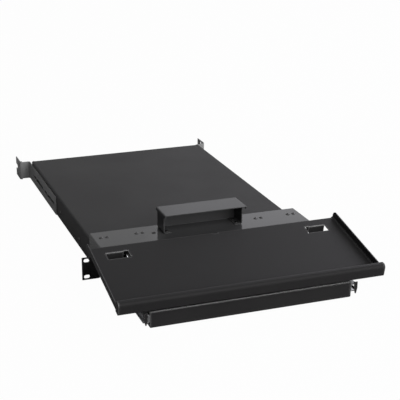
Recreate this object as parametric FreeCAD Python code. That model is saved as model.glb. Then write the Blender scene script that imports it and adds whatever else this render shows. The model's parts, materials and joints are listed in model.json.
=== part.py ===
import FreeCAD, Part
import math
import os

os.makedirs("parts", exist_ok=True)

V = FreeCAD.Vector

# The origin is the middle of the front mounting ears. +X is right, +Y goes into the rack, +Z is up.

# Rack standard
RACK_WIDTH = 482.6
RACK_HOLE_SPAN = 465.1
RACK_HOLE_PITCH = 31.75
EAR_HEIGHT = 44.0
EAR_SHEET = 2.0
EAR_SLOT_WIDTH = 7.0
EAR_SLOT_LENGTH = 11.0

# Fixed chassis: one sheet folded into a deck with two side walls
CHASSIS_WIDTH = 414.0
CHASSIS_DEPTH = 590.0
CHASSIS_HEIGHT = 50.0
CHASSIS_SHEET = 1.5
CHASSIS_FRONT = 3.0
DECK_Z = 27.5
CHASSIS_RETURN = 11.0
DECK_END_FLANGE = 10.0
BEND = 2.5

# Front ear brackets and slotted rear brackets
EAR_FLANGE_DEPTH = 62.0
REAR_BRACKET_LAP = 245.0
REAR_FLANGE_BACK = 24.0
REAR_STANDOFF = 22.5
REAR_RETURN = 43.5
REAR_HOLE_BACK = 22.0
REAR_HOLE_RADIUS = 4.5
REAR_BRACKET_HEIGHT = 40.0
REAR_SLOT_LENGTH = 96.0
REAR_SLOT_WIDTH = 7.0
REAR_SLOT_PITCH = 112.0
REAR_SLOT_INSET = 60.0
REAR_SCREW_OFFSET = 14.0
HOOK_WIDTH = 11.0

# Raised plate across the chassis front, and the spacers under it
PLATE_RISE = 16.2
PLATE_REAR = 60.0
PLATE_FRONT = -20.0
PLATE_SHEET = 1.5
PLATE_SKIRT = 38.0
SPACER_WIDTH = 24.0
SPACER_DEPTH = 44.0
PLATE_SCREW_Y = 31.0
PLATE_SCREW_GAP = 12.0
SPACER_FROM_HOOD = 39.25
SPACER_FROM_WALL = 17.0
SINGLE_SCREW_INSET = 14.0
SINGLE_SCREW_Y = 23.0

# Cable hood on the raised plate
HOOD_WIDTH = 163.5
HOOD_DEPTH = 54.0
HOOD_HEIGHT = 41.0
HOOD_SHEET = 1.5
HOOD_FRONT = -4.0
HOOD_OVERHANG = 2.5
HOOD_LIP = 5.0
HOOD_FOOT = 14.0
HOOD_LEG_DEPTH = 38.0
TIGHT_BEND = 1.0

# Telescopic slides between the chassis walls and the drawer pan
SLIDE_SPACE = 19.5
SLIDE_HEIGHT = 30.0
SLIDE_Z = -3.5
SLIDE_SHEET = 1.5
SLIDE_WEB_GAP = 2.0
SLIDE_BALL_GAP = 2.5
SLIDE_REACH = 11.5
OUTER_SETBACK = 33.0
MIDDLE_FRONT = -100.0
MIDDLE_LENGTH = 540.0
INNER_LENGTH = 557.0
BALL_CLEARANCE = 0.15
CAGE_SHEET = 0.6
CAGE_LENGTH = 150.0
CAGE_BALLS = 1
OUTER_CAGE_FRONT = 90.0
INNER_CAGE_FRONT = -20.0

# Drawer pan that carries the keyboard tray
PAN_REACH = 231.0
PAN_DEPTH = 551.0
PAN_HEIGHT = 30.5
PAN_SHEET = 1.2
PAN_FLOOR_Z = -21.4
PAN_HEM = 10.0
PAN_CORNER = 3.0

# Keyboard tray, drawn level and then tilted about its rear edge
TRAY_WIDTH = 487.0
TRAY_DEPTH = 201.8
TRAY_SHEET = 1.5
TRAY_TILT = 11.84
TRAY_REAR_Y = -44.5
TRAY_REAR_Z = 56.5
TRAY_SIDE = 15.4
TRAY_SIDE_ROUND = 10.0
TRAY_LIP = 23.4
TRAY_LIP_TOP = 14.0
TRAY_LIP_ROUND = 5.0
TRAY_LIP_INNER = 9.0
TRAY_REAR_FLANGE = 5.0
NOTCH_WIDTH = 10.0
NOTCH_DEPTH = 5.0
WINDOW_OUTSET = 7.0
WINDOW_WIDTH = 42.0
WINDOW_DEPTH = 21.0
WINDOW_FROM_REAR = 21.5
WINDOW_TAB = 14.0
WINDOW_TAB_INSET = 9.0
PIVOT_FROM_REAR = 30.0
PIVOT_BELOW = 8.0

# Tilt hinge of the tray
LUG_WIDTH = 18.0
PIVOT_RADIUS = 3.0
PIVOT_EYE = 6.0
RUNNING_CLEARANCE = 0.05
SIDE_CLEARANCE = 0.3
ARM_SHEET = 2.0
ARM_FOOT = 7.0
ARM_BASE = 34.0
PIN_HEAD = 4.8
PIN_HEAD_THICK = 1.6
BUMPER_RADIUS = 7.0
BUMPER_X = 120.0
BUMPER_SETBACK = 6.0

# Release levers at the slide fronts
LEVER_SHEET = 1.5
LEVER_PIVOT_Y = 16.0
LEVER_ARM_HALF = 2.5
LEVER_TAIL = 8.0
LEVER_PIN_RADIUS = 1.5
LEVER_TAB_WIDTH = 6.5
LEVER_TAB_UP = 12.0
LEVER_TAB_DOWN = 10.0
LEVER_TAB_GAP = 3.0

# Screws
SCREW_RADIUS = 2.0
SCREW_HEAD = 4.0
SCREW_HEAD_THICK = 1.8
SCREW_HEAD_SIDES = 12
SCREW_SHANK_SIDES = 8
SCREW_CLEARANCE = 0.15
ARM_SCREW_HEAD = 3.2
SLIDE_SCREW_Y = (153.0, 311.0)
EAR_SCREW_Y = (32.0,)

# Values worked out from the sizes above
half = CHASSIS_WIDTH / 2
wall_inner = half - CHASSIS_SHEET
chassis_bottom = DECK_Z - CHASSIS_HEIGHT
chassis_rear = CHASSIS_FRONT + CHASSIS_DEPTH
ear_outer = half + EAR_SHEET
rear_bracket_front = chassis_rear - REAR_BRACKET_LAP
rear_flange_y = chassis_rear + REAR_FLANGE_BACK
rear_return_x = half + EAR_SHEET / 2 + REAR_STANDOFF
spacer_places = [HOOD_WIDTH / 2 + SPACER_FROM_HOOD, half - SPACER_FROM_WALL]
plate_top = DECK_Z + PLATE_RISE
plate_under = plate_top - PLATE_SHEET
plate_half = ear_outer + PLATE_SHEET
pan_half = wall_inner - SLIDE_SPACE
pan_front = -PAN_REACH
pan_top = PAN_FLOOR_Z + PAN_HEIGHT
pan_floor_top = PAN_FLOOR_Z + PAN_SHEET
window_inner = pan_half + WINDOW_OUTSET - WINDOW_WIDTH / 2
tilt = math.radians(TRAY_TILT)
pivot_y = TRAY_REAR_Y - PIVOT_FROM_REAR * math.cos(tilt) + PIVOT_BELOW * math.sin(tilt)
pivot_z = TRAY_REAR_Z - PIVOT_FROM_REAR * math.sin(tilt) - PIVOT_BELOW * math.cos(tilt)
lug_outer = window_inner + TRAY_SHEET
arm_inner = lug_outer + SIDE_CLEARANCE
arm_outer = arm_inner + ARM_SHEET
middle_half = SLIDE_HEIGHT / 2 - SLIDE_SHEET - SLIDE_BALL_GAP
inner_half = middle_half - SLIDE_SHEET - SLIDE_BALL_GAP
middle_web = wall_inner - SLIDE_SHEET - SLIDE_WEB_GAP
inner_front = pan_front + PAN_SHEET


def save(name, *solids):
    """Write one node: a single solid, or a group of separate ones."""
    shape = solids[0] if len(solids) == 1 else Part.makeCompound(list(solids))
    shape.exportStep("parts/" + name + ".step")


def block(x0, x1, y0, y1, z0, z1):
    """A box given by its limits along the three axes."""
    corner = V(min(x0, x1), min(y0, y1), min(z0, z1))
    return Part.makeBox(abs(x1 - x0), abs(y1 - y0), abs(z1 - z0), corner)


def rod(radius, start, axis, length):
    """A cylinder from a point along an axis."""
    return Part.makeCylinder(radius, length, V(*start), V(*axis))


def mirrored(shape):
    """The same piece for the left side."""
    return shape.mirror(V(0, 0, 0), V(1, 0, 0))


def fused(*shapes):
    """One clean solid out of several that meet."""
    whole = shapes[0].fuse(list(shapes[1:])).removeSplitter()
    return whole.Solids[0]


def folded(points, sheet, place, start, length, bends=None):
    """Sheet metal bent along a middle line of 2D points, then drawn out along the third axis.

    place is "xz" for a profile drawn out along Y, "yz" for one along X and "xy" for one along Z.
    bends holds an inside radius for each bend where they aren't all the usual one."""
    count = len(points)
    ways = []
    for a, b in zip(points, points[1:]):
        span = math.hypot(b[0] - a[0], b[1] - a[1])
        ways.append(((b[0] - a[0]) / span, (b[1] - a[1]) / span))

    def at(point, way, side):
        return (point[0] - way[1] * side * sheet / 2, point[1] + way[0] * side * sheet / 2)

    def lift(p):
        return {"xz": V(p[0], start, p[1]), "yz": V(start, p[0], p[1]), "xy": V(p[0], p[1], start)}[place]

    def edges(side):
        made = []
        here = at(points[0], ways[0], side)
        for i in range(1, count - 1):
            before, after = ways[i - 1], ways[i]
            middle_bend = (bends[i - 1] if bends else BEND) + sheet / 2
            turn = math.atan2(before[0] * after[1] - before[1] * after[0],
                              before[0] * after[0] + before[1] * after[1])
            back = middle_bend * math.tan(abs(turn) / 2)
            spin = 1 if turn > 0 else -1
            first = (points[i][0] - before[0] * back, points[i][1] - before[1] * back)
            last = (points[i][0] + after[0] * back, points[i][1] + after[1] * back)
            centre = (first[0] - before[1] * spin * middle_bend, first[1] + before[0] * spin * middle_bend)
            radius = middle_bend - side * spin * sheet / 2
            middle = (before[0] + after[0], before[1] + after[1])
            size = math.hypot(*middle)
            normal = (middle[1] / size * spin, -middle[0] / size * spin)
            bend_start = at(first, before, side)
            bend_middle = (centre[0] + normal[0] * radius, centre[1] + normal[1] * radius)
            bend_end = at(last, after, side)
            made.append(Part.LineSegment(lift(here), lift(bend_start)).toShape())
            made.append(Part.Arc(lift(bend_start), lift(bend_middle), lift(bend_end)).toShape())
            here = bend_end
        end = at(points[-1], ways[-1], side)
        made.append(Part.LineSegment(lift(here), lift(end)).toShape())
        return made

    left = edges(1)
    right = edges(-1)
    tip = Part.LineSegment(lift(at(points[-1], ways[-1], 1)), lift(at(points[-1], ways[-1], -1))).toShape()
    root = Part.LineSegment(lift(at(points[0], ways[0], 1)), lift(at(points[0], ways[0], -1))).toShape()
    outline = Part.Wire(Part.__sortEdges__(left + [tip] + right + [root]))
    along = {"xz": V(0, length, 0), "yz": V(length, 0, 0), "xy": V(0, 0, length)}[place]
    return Part.Face(outline).extrude(along)


def slot_cutter(centre, along, length, width, through, depth):
    """A round-ended slot cutter: along is the slot's direction, through the way it cuts."""
    reach = (length - width) / 2
    c, a, t = V(*centre), V(*along), V(*through)
    start = c - t * (depth / 2)
    ends = [Part.makeCylinder(width / 2, depth, start + a * (reach * s), t) for s in (-1, 1)]
    side = a.cross(t)
    corner = start - a * reach - side * (width / 2)
    wire = Part.makePolygon([corner, corner + a * (2 * reach), corner + a * (2 * reach) + side * width,
                             corner + side * width, corner])
    return Part.Face(wire).extrude(t * depth).fuse(ends)


def prism(radius, sides, start, axis, length):
    """A round bar drawn with few faces, for the many small screws."""
    ring = [V(radius * math.cos(2 * math.pi * i / sides), radius * math.sin(2 * math.pi * i / sides), 0)
            for i in range(sides + 1)]
    bar = Part.Face(Part.makePolygon(ring)).extrude(V(0, 0, length))
    bar.Placement = FreeCAD.Placement(V(*start), FreeCAD.Rotation(V(0, 0, 1), V(*axis)))
    return bar


def screw(seat, out, grip, head_radius=SCREW_HEAD):
    """A plain screw: seat is the point under its head, out the way the head faces."""
    tip = V(*seat) - V(*out) * grip
    head = prism(head_radius, SCREW_HEAD_SIDES, seat, out, SCREW_HEAD_THICK)
    shank = prism(SCREW_RADIUS, SCREW_SHANK_SIDES, tip, out, grip)
    return fused(head, shank)


def screw_hole(seat, out, depth):
    """The clearance hole of such a screw."""
    o = V(*out)
    return Part.makeCylinder(SCREW_RADIUS + SCREW_CLEARANCE, depth + 2, V(*seat) - o * (depth + 1), o)


def chassis():
    """Deck and side walls, with return flanges below and a stiffening flange at each end of the deck."""
    mid = CHASSIS_SHEET / 2
    x, top, low = half - mid, DECK_Z - mid, chassis_bottom + mid
    line = [(-x + CHASSIS_RETURN, low), (-x, low), (-x, top), (x, top), (x, low), (x - CHASSIS_RETURN, low)]
    shell = folded(line, CHASSIS_SHEET, "xz", CHASSIS_FRONT, CHASSIS_DEPTH)
    inset = BEND + CHASSIS_SHEET + 1
    width = 2 * (half - inset)
    flanges = []
    for end, into in ((CHASSIS_FRONT + mid, 1), (chassis_rear - mid, -1)):
        profile = [(end + into * 4 * BEND, top), (end, top), (end, top - DECK_END_FLANGE)]
        flanges.append(folded(profile, CHASSIS_SHEET, "yz", -half + inset, width))
    for end in (CHASSIS_FRONT, chassis_rear - BEND):
        shell = shell.cut(block(-half + inset, half - inset, end, end + BEND, DECK_Z - 2, DECK_Z + 1))
    body = fused(shell, *flanges)
    return body.cut(Part.makeCompound(wall_holes()))


def wall_screws():
    """Seat points of the screws in the right chassis wall: (x, y, z) and what each passes through."""
    slide = [(half, y, SLIDE_Z) for y in SLIDE_SCREW_Y]
    ear = [(plate_half, y, SLIDE_Z + SLIDE_HEIGHT / 2 + 7) for y in EAR_SCREW_Y]
    rear = [(ear_outer, y, 0) for y in rear_screw_places()]
    return slide, ear, rear


def rear_slot_places():
    """Middles of the two long slots of a rear bracket, along the chassis."""
    first = rear_bracket_front + REAR_SLOT_INSET
    return [first, first + REAR_SLOT_PITCH]


def rear_screw_places():
    """One screw in each slot of the rear bracket, behind the slot's middle."""
    return [centre + REAR_SCREW_OFFSET for centre in rear_slot_places()]


def wall_holes():
    """Screw holes through both chassis walls."""
    holes = []
    for group in wall_screws():
        for seat in group:
            hole = screw_hole((half, seat[1], seat[2]), (1, 0, 0), CHASSIS_SHEET)
            holes += [hole, mirrored(hole)]
    return holes


def plate_screw_places():
    """The screw pairs of the raised plate, on all four spacers, and the single one left of the hood."""
    pairs = [(-HOOD_WIDTH / 2 - SINGLE_SCREW_INSET, SINGLE_SCREW_Y)]
    for x in spacer_places:
        for side in (-1, 1):
            for step in (-0.5, 0.5):
                pairs.append((side * x + step * PLATE_SCREW_GAP, PLATE_SCREW_Y))
    return pairs


def front_ear():
    """Right front ear: an angle with a slotted rack ear and a flange along the chassis wall."""
    corner = half + EAR_SHEET / 2
    plan = [(corner, EAR_FLANGE_DEPTH), (corner, 0), (RACK_WIDTH / 2, 0)]
    angle = folded(plan, EAR_SHEET, "xy", -EAR_HEIGHT / 2, EAR_HEIGHT)
    cuts = []
    for z in (-RACK_HOLE_PITCH / 2, RACK_HOLE_PITCH / 2):
        centre = (RACK_HOLE_SPAN / 2, 0, z)
        cuts.append(slot_cutter(centre, (1, 0, 0), EAR_SLOT_LENGTH, EAR_SLOT_WIDTH, (0, 1, 0),
                                4 * EAR_SHEET))
    for y in EAR_SCREW_Y:
        cuts.append(screw_hole((ear_outer, y, wall_screws()[1][0][2]), (1, 0, 0), EAR_SHEET))
    return angle.cut(Part.makeCompound(cuts))


def rear_bracket():
    """Right rear bracket: a slotted plate along the wall, stepped out to a rack ear that runs back.

    The ear has two rack holes, and an open hook notch between them."""
    corner = half + EAR_SHEET / 2
    plan = [(corner, rear_bracket_front), (corner, rear_flange_y), (rear_return_x, rear_flange_y),
            (rear_return_x, rear_flange_y + REAR_RETURN)]
    step = folded(plan, EAR_SHEET, "xy", -EAR_HEIGHT / 2, EAR_HEIGHT)
    trim = (EAR_HEIGHT - REAR_BRACKET_HEIGHT) / 2
    cuts = []
    for side in (-1, 1):
        edge = side * EAR_HEIGHT / 2
        cuts.append(block(half - 1, rear_return_x - EAR_SHEET - BEND, rear_bracket_front - 1,
                          rear_flange_y + EAR_SHEET, edge - side * trim, edge + side))
        start = (ear_outer, rear_flange_y + REAR_HOLE_BACK, side * RACK_HOLE_PITCH / 2)
        cuts.append(rod(REAR_HOLE_RADIUS, start, (1, 0, 0), 2 * REAR_STANDOFF))
    notch_end = (rear_return_x, rear_flange_y + REAR_RETURN, 0)
    cuts.append(slot_cutter(notch_end, (0, 1, 0), 3 * HOOK_WIDTH, HOOK_WIDTH, (1, 0, 0), 4 * EAR_SHEET))
    for y in rear_slot_places():
        cuts.append(slot_cutter((corner, y, 0), (0, 1, 0), REAR_SLOT_LENGTH, REAR_SLOT_WIDTH, (1, 0, 0),
                                4 * EAR_SHEET))
    return step.cut(Part.makeCompound(cuts))


def raised_plate():
    """The plate across the chassis front, with a skirt outside each ear flange."""
    mid = PLATE_SHEET / 2
    x, top = plate_half - mid, plate_top - mid
    line = [(-x, plate_top - PLATE_SKIRT), (-x, top), (x, top), (x, plate_top - PLATE_SKIRT)]
    plate = folded(line, PLATE_SHEET, "xz", PLATE_FRONT, PLATE_REAR - PLATE_FRONT, (TIGHT_BEND, TIGHT_BEND))
    cuts = [screw_hole((px, py, plate_top), (0, 0, 1), PLATE_SHEET) for px, py in plate_screw_places()]
    cuts += [screw_hole((px, py, plate_top), (0, 0, 1), PLATE_SHEET) for px, py in hood_screw_places()]
    for side in (-1, 1):
        ear_side = block(side * (ear_outer - 1), side * (plate_half + 1), PLATE_FRONT - 1, EAR_SHEET + 2,
                         plate_top - PLATE_SKIRT - 1, EAR_HEIGHT / 2 + 2)
        cuts.append(ear_side)
        for seat in wall_screws()[1]:
            hole = screw_hole((plate_half, seat[1], seat[2]), (1, 0, 0), PLATE_SHEET)
            cuts.append(hole if side > 0 else mirrored(hole))
    return plate.cut(Part.makeCompound(cuts))


def spacer(x):
    """A top-hat spacer between the deck and the raised plate, with a hole for each screw of its pair."""
    mid = CHASSIS_SHEET / 2
    top = plate_under - mid
    w = SPACER_WIDTH / 2 - mid
    hat = folded([(x - w, DECK_Z), (x - w, top), (x + w, top), (x + w, DECK_Z)], CHASSIS_SHEET, "xz",
                 PLATE_SCREW_Y - SPACER_DEPTH / 2, SPACER_DEPTH)
    cuts = [screw_hole((x + s * PLATE_SCREW_GAP / 2, PLATE_SCREW_Y, plate_under), (0, 0, 1), CHASSIS_SHEET)
            for s in (-1, 1)]
    return hat.cut(Part.makeCompound(cuts))


def hood_screw_places():
    """Two screws in each foot of the hood, under its roof."""
    x = HOOD_WIDTH / 2 - HOOD_OVERHANG - HOOD_SHEET - HOOD_FOOT / 2
    rear = HOOD_FRONT + HOOD_DEPTH
    return [(side * x, rear - HOOD_LEG_DEPTH * share) for side in (-1, 1) for share in (0.3, 0.75)]


def hood():
    """Cable hood: roof with turned-down ends, two legs with feet turned in, and a back wall."""
    mid = HOOD_SHEET / 2
    top = plate_top + HOOD_HEIGHT - mid
    roof_x = HOOD_WIDTH / 2 - mid
    leg_x = HOOD_WIDTH / 2 - HOOD_OVERHANG - mid
    roof = folded([(-roof_x, top - HOOD_LIP), (-roof_x, top), (roof_x, top), (roof_x, top - HOOD_LIP)],
                  HOOD_SHEET, "xz", HOOD_FRONT, HOOD_DEPTH, (TIGHT_BEND, TIGHT_BEND))
    parts = [roof]
    rear = HOOD_FRONT + HOOD_DEPTH
    foot_z = plate_top + mid
    for side in (-1, 1):
        line = [(side * leg_x, top), (side * leg_x, foot_z), (side * (leg_x - HOOD_FOOT), foot_z)]
        parts.append(folded(line, HOOD_SHEET, "xz", rear - HOOD_LEG_DEPTH, HOOD_LEG_DEPTH))
    parts.append(block(-leg_x, leg_x, rear - HOOD_SHEET, rear, plate_top, top))
    body = fused(*parts)
    seat_z = plate_top + HOOD_SHEET
    cuts = [screw_hole((x, y, seat_z), (0, 0, 1), HOOD_SHEET) for x, y in hood_screw_places()]
    return body.cut(Part.makeCompound(cuts))


def channel(web_x, reach_x, half_height, y0, length):
    """A slide member: a C with its web at web_x, the outside of the web, and flanges to reach_x."""
    into = 1 if reach_x > web_x else -1
    mid = SLIDE_SHEET / 2
    low, top = SLIDE_Z - half_height + mid, SLIDE_Z + half_height - mid
    line = [(reach_x, low), (web_x + into * mid, low), (web_x + into * mid, top), (reach_x, top)]
    return folded_tight(line, SLIDE_SHEET, y0, length)


def folded_tight(line, sheet, y0, length):
    """A C of square-cornered rolled sheet, drawn out along Y."""
    (x1, low), (x0, _), (_, top), _ = line
    mid = sheet / 2
    into = 1 if x1 > x0 else -1
    web = x0 - into * mid
    outer = block(web, x1, y0, y0 + length, low - mid, top + mid)
    inner = block(web + into * sheet, x1 + into, y0 - 1, y0 + length + 1, low + mid, top - mid)
    body = outer.cut(inner)
    corners = [e for e in body.Edges if abs(e.Length - length) < 1e-6
               and abs(e.CenterOfMass.x - web) < 1e-6]
    return body.makeFillet(sheet * 0.8, corners)


def slide_outer():
    """Right outer slide member on the chassis wall, with clearance holes for its screws."""
    front = CHASSIS_FRONT + CHASSIS_SHEET
    body = channel(wall_inner, wall_inner - SLIDE_REACH, SLIDE_HEIGHT / 2, front,
                   chassis_rear - OUTER_SETBACK - front)
    holes = [screw_hole((wall_inner, y, SLIDE_Z), (1, 0, 0), SLIDE_SHEET) for y in SLIDE_SCREW_Y]
    return body.cut(Part.makeCompound(holes))


def slide_middle():
    """Right middle slide member, nested in the outer one."""
    return channel(middle_web, middle_web - SLIDE_REACH, middle_half, MIDDLE_FRONT, MIDDLE_LENGTH)


def slide_inner():
    """Right inner slide member on the drawer pan, with a hole for the lever's pivot pin."""
    body = channel(pan_half, pan_half + SLIDE_REACH, inner_half, inner_front, INNER_LENGTH)
    pivot = (pan_half - 1, inner_front + LEVER_PIVOT_Y, SLIDE_Z)
    hole = rod(LEVER_PIN_RADIUS + RUNNING_CLEARANCE, pivot, (1, 0, 0), 4)
    return body.cut(hole)


def ball_cage(web_x, half_height, y0):
    """A retainer between two nested members: a thin C, and a row of balls in each of its flanges."""
    gap_web = web_x + SLIDE_WEB_GAP / 2
    mid_z = half_height + SLIDE_BALL_GAP / 2
    reach = SLIDE_REACH - 3
    t = CAGE_SHEET / 2
    parts = [block(gap_web - t, gap_web + t, y0, y0 + CAGE_LENGTH, SLIDE_Z - mid_z - t, SLIDE_Z + mid_z + t)]
    for side in (-1, 1):
        z = SLIDE_Z + side * mid_z
        parts.append(block(gap_web - reach, gap_web, y0, y0 + CAGE_LENGTH, z - t, z + t))
    frame = fused(*parts)
    ball_radius = SLIDE_BALL_GAP / 2 - BALL_CLEARANCE
    balls, pockets = [], []
    step = CAGE_LENGTH / CAGE_BALLS
    for side in (-1, 1):
        for i in range(CAGE_BALLS):
            centre = V(gap_web - reach / 2, y0 + step * (i + 0.5), SLIDE_Z + side * mid_z)
            balls.append(Part.makeSphere(ball_radius, centre))
            pockets.append(Part.makeCylinder(ball_radius + BALL_CLEARANCE, 4, centre - V(0, 0, 2)))
    return [frame.cut(Part.makeCompound(pockets))] + balls


def inner_cage(y0):
    """The retainer between the middle and inner members, whose web lies against the middle one."""
    return ball_cage(middle_web - SLIDE_SHEET - SLIDE_WEB_GAP, inner_half, y0)


def drawer_pan():
    """Open drawer pan with rounded front and floor edges and a hem turned in along the front."""
    rear = pan_front + PAN_DEPTH
    outer = block(-pan_half, pan_half, pan_front, rear, PAN_FLOOR_Z, pan_top)
    floor_edges = [e for e in outer.Edges if abs(e.CenterOfMass.z - PAN_FLOOR_Z) < 1e-6]
    outer = outer.makeFillet(PAN_CORNER, floor_edges)
    inner = block(-pan_half + PAN_SHEET, pan_half - PAN_SHEET, pan_front + PAN_SHEET, rear - PAN_SHEET,
                  pan_floor_top, pan_top + 10)
    low_edges = [e for e in inner.Edges if abs(e.CenterOfMass.z - pan_floor_top) < 1e-6]
    inner = inner.makeFillet(PAN_CORNER - PAN_SHEET, low_edges)
    hem = block(-pan_half + PAN_SHEET, pan_half - PAN_SHEET, pan_front + PAN_SHEET / 2, pan_front + PAN_HEM,
                pan_top - PAN_SHEET, pan_top)
    body = fused(outer.cut(inner), hem)
    pivot = (pan_half - 5, inner_front + LEVER_PIVOT_Y, SLIDE_Z)
    pin_hole = rod(LEVER_PIN_RADIUS + RUNNING_CLEARANCE, pivot, (1, 0, 0), 10)
    cuts = [pin_hole, mirrored(pin_hole)]
    for x, y in arm_screw_places():
        for side in (-1, 1):
            cuts.append(screw_hole((side * x, y, pan_floor_top), (0, 0, 1), PAN_SHEET))
    return body.cut(Part.makeCompound(cuts))


def tilted(shape):
    """A shape drawn on the level tray, with the tray's rear edge at the origin, in its real place."""
    shape.rotate(V(0, 0, 0), V(1, 0, 0), TRAY_TILT)
    shape.translate(V(0, TRAY_REAR_Y, TRAY_REAR_Z))
    return shape


def lip_cap(x0, x1):
    """The closed end of the tray's front lip, rounded as the lip is."""
    front = -TRAY_DEPTH
    cap = block(x0, x1, front, front + TRAY_LIP_TOP + TRAY_SHEET, 0, TRAY_LIP)
    top = [e for e in cap.Edges if abs(e.Length - TRAY_SHEET) < 1e-6 and e.CenterOfMass.z > 1]
    cap = cap.makeFillet(TRAY_LIP_ROUND + TRAY_SHEET, top)
    low = [e for e in cap.Edges if abs(e.Length - TRAY_SHEET) < 1e-6 and abs(e.CenterOfMass.z) < 1e-6
           and abs(e.CenterOfMass.y - front) < 1e-6]
    return cap.makeFillet(BEND + TRAY_SHEET, low)


def keyboard_tray():
    """Tray floor with side walls, boxed front lip and rear flange, and a lug and a tab at each window."""
    w, d, t = TRAY_WIDTH / 2, TRAY_DEPTH, TRAY_SHEET
    mid = t / 2
    side_line = [(-w + mid, TRAY_SIDE), (-w + mid, mid), (w - mid, mid), (w - mid, TRAY_SIDE)]
    floor_front = BEND + t
    pan = folded(side_line, t, "xz", -d + floor_front, d - floor_front)
    for side in (-1, 1):
        corner = block(side * (w - 2 * t), side * (w + 1), -TRAY_SIDE_ROUND, 1, TRAY_SIDE - TRAY_SIDE_ROUND,
                       TRAY_SIDE + 1)
        rounder = rod(TRAY_SIDE_ROUND, (-w - 2, -TRAY_SIDE_ROUND, TRAY_SIDE - TRAY_SIDE_ROUND), (1, 0, 0),
                      2 * w + 4)
        pan = pan.cut(corner.cut(rounder))
    front = -d + mid
    lip_line = [(front + 8 * t, mid), (front, mid), (front, TRAY_LIP - mid),
                (front + TRAY_LIP_TOP, TRAY_LIP - mid), (front + TRAY_LIP_TOP, TRAY_LIP - TRAY_LIP_INNER)]
    lip = folded(lip_line, t, "yz", -w, 2 * w, (BEND, TRAY_LIP_ROUND, TRAY_LIP_ROUND))
    caps = [lip_cap(side * w, side * (w - t)) for side in (-1, 1)]
    flange_line = [(-8 * t, mid), (-mid, mid), (-mid, -TRAY_REAR_FLANGE)]
    flange = folded(flange_line, t, "yz", -w + 3 * t, 2 * (w - 3 * t))
    pan = pan.cut(block(-w + 3 * t, w - 3 * t, -BEND, 1, -1, t + 0.01))
    body = fused(pan, lip, flange, *caps)
    cuts = [block(-NOTCH_WIDTH / 2, NOTCH_WIDTH / 2, -NOTCH_DEPTH, 1, -TRAY_REAR_FLANGE - 1, t + 1)]
    lugs = []
    for side in (-1, 1):
        x0, x1 = side * window_inner, side * (window_inner + WINDOW_WIDTH)
        rear = -WINDOW_FROM_REAR
        cuts.append(block(x0, x1, rear - WINDOW_DEPTH, rear, -1, t + 1))
        lug = block(x0, side * lug_outer, -PIVOT_FROM_REAR - LUG_WIDTH / 2, -PIVOT_FROM_REAR + LUG_WIDTH / 2,
                    -PIVOT_BELOW - PIVOT_EYE, t)
        low = [e for e in lug.Edges if abs(e.CenterOfMass.z + PIVOT_BELOW + PIVOT_EYE) < 1e-6
               and abs(e.Length - t) < 1e-6]
        lugs.append(lug.makeFillet(PIVOT_EYE * 0.8, low))
        lugs.append(block(side * (window_inner + WINDOW_TAB_INSET), x1, rear - t, rear, -WINDOW_TAB, t))
    body = fused(body.cut(Part.makeCompound(cuts)), *lugs)
    bore = rod(PIVOT_RADIUS + RUNNING_CLEARANCE, (-w, -PIVOT_FROM_REAR, -PIVOT_BELOW), (1, 0, 0), 2 * w)
    return tilted(body.cut(bore))


def arm_screw_places():
    """Two screws in the foot of the right tilt arm."""
    x = arm_outer + ARM_FOOT * 0.6
    return [(x, pivot_y + s * ARM_BASE * 0.3) for s in (-1, 1)]


def tilt_arm():
    """Right tilt arm: an angle that stands on the pan floor and tapers up to the pivot eye."""
    low = pan_floor_top
    base = ARM_BASE / 2
    foot = block(arm_inner, arm_outer + ARM_FOOT, pivot_y - base, pivot_y + base, low, low + ARM_SHEET)
    corners = [V(arm_inner, pivot_y - base, low), V(arm_inner, pivot_y + base, low),
               V(arm_inner, pivot_y + base, low + 3 * ARM_SHEET),
               V(arm_inner, pivot_y + PIVOT_EYE, pivot_z), V(arm_inner, pivot_y - PIVOT_EYE, pivot_z),
               V(arm_inner, pivot_y - base, low + 3 * ARM_SHEET), V(arm_inner, pivot_y - base, low)]
    web = Part.Face(Part.makePolygon(corners)).extrude(V(ARM_SHEET, 0, 0))
    eye = rod(PIVOT_EYE, (arm_inner, pivot_y, pivot_z), (1, 0, 0), ARM_SHEET)
    body = fused(foot, web, eye)
    start = (arm_inner - 1, pivot_y, pivot_z)
    cuts = [rod(PIVOT_RADIUS + RUNNING_CLEARANCE, start, (1, 0, 0), ARM_SHEET + 2)]
    for x, y in arm_screw_places():
        cuts.append(screw_hole((x, y, low + ARM_SHEET), (0, 0, 1), ARM_SHEET))
    return body.cut(Part.makeCompound(cuts))


def pivot_pin():
    """Right pivot pin: a headed pin with a retaining ring on its inner end."""
    inner = window_inner - SIDE_CLEARANCE
    shank = rod(PIVOT_RADIUS, (inner, pivot_y, pivot_z), (1, 0, 0), arm_outer - inner)
    head = rod(PIN_HEAD, (arm_outer, pivot_y, pivot_z), (1, 0, 0), PIN_HEAD_THICK)
    ring = rod(PIN_HEAD, (inner - PIN_HEAD_THICK / 2, pivot_y, pivot_z), (1, 0, 0), PIN_HEAD_THICK / 2)
    return fused(shank, head, ring)


def bumper(x):
    """A rubber rest under the tray's front, on the hem of the pan, with its top cut to the tray's slope."""
    y = pan_front + PAN_HEM - BUMPER_SETBACK
    post = rod(BUMPER_RADIUS * 0.5, (x, y, pan_top), (0, 0, 1), 40)
    cutter = block(x - 30, x + 30, -TRAY_DEPTH - 50, 0, -SIDE_CLEARANCE, 100)
    return post.cut(tilted(cutter))


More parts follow.
